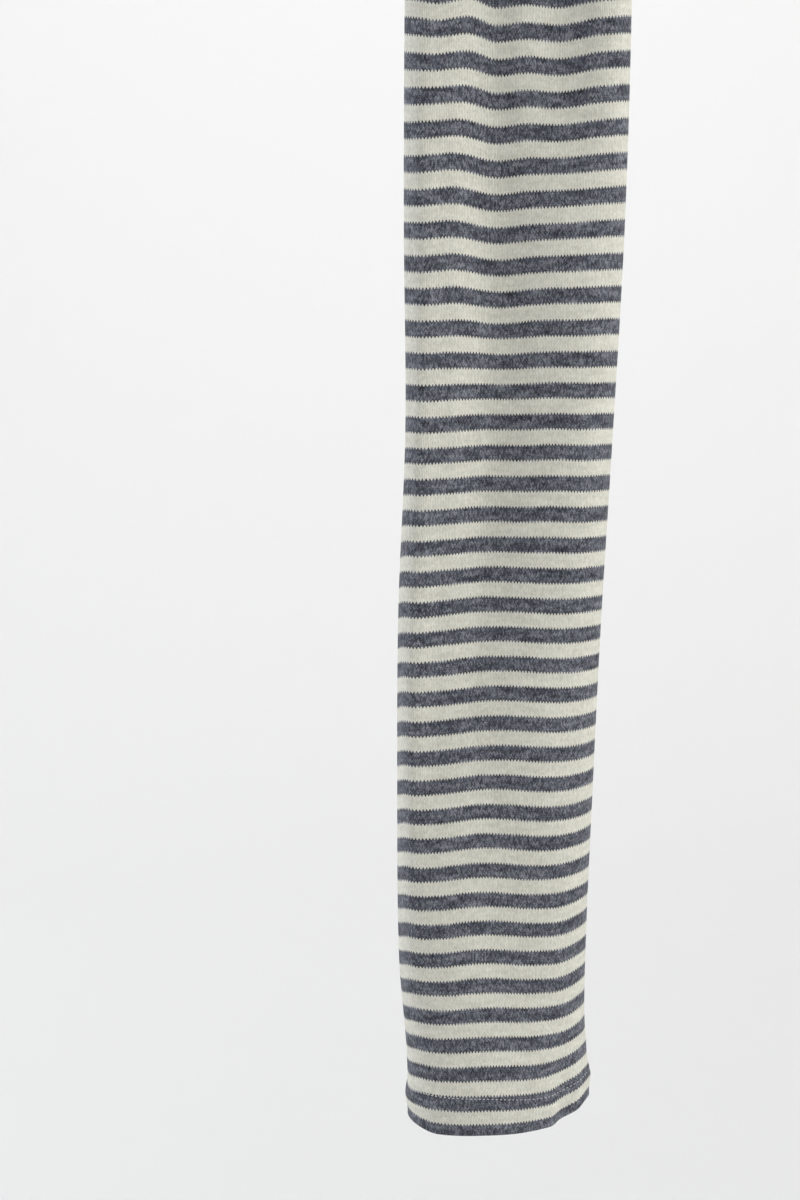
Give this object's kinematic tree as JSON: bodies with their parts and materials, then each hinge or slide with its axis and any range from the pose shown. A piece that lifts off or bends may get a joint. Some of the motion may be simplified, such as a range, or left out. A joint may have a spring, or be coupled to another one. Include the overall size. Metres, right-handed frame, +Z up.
{
  "type": "leg warmer",
  "caption": "Long footless leg warmer in fine striped jersey, an open tube hanging flat and wide at the top and opening to an oval at its turned-up ankle hem.",
  "frame": {"origin": "centre of the open top edge, where whatever holds the leg warmer up has it", "axes": "+Z up along the tube, front facing -Y, +X to the right seen from the front"},
  "size_m": [0.1062, 0.0659, 0.6173],
  "materials": {
    "leg_jersey": "fine plain jersey, cream with heather blue-grey stripes",
    "top_hem_jersey": "the same jersey, turned in double",
    "ankle_hem_jersey": "the same jersey, turned up double with one row of pale stitches"
  },
  "bodies": {
    "root": {"leg_tube": "leg_jersey", "top_hem": "top_hem_jersey", "ankle_hem": "ankle_hem_jersey"}
  },
  "joints": []
}
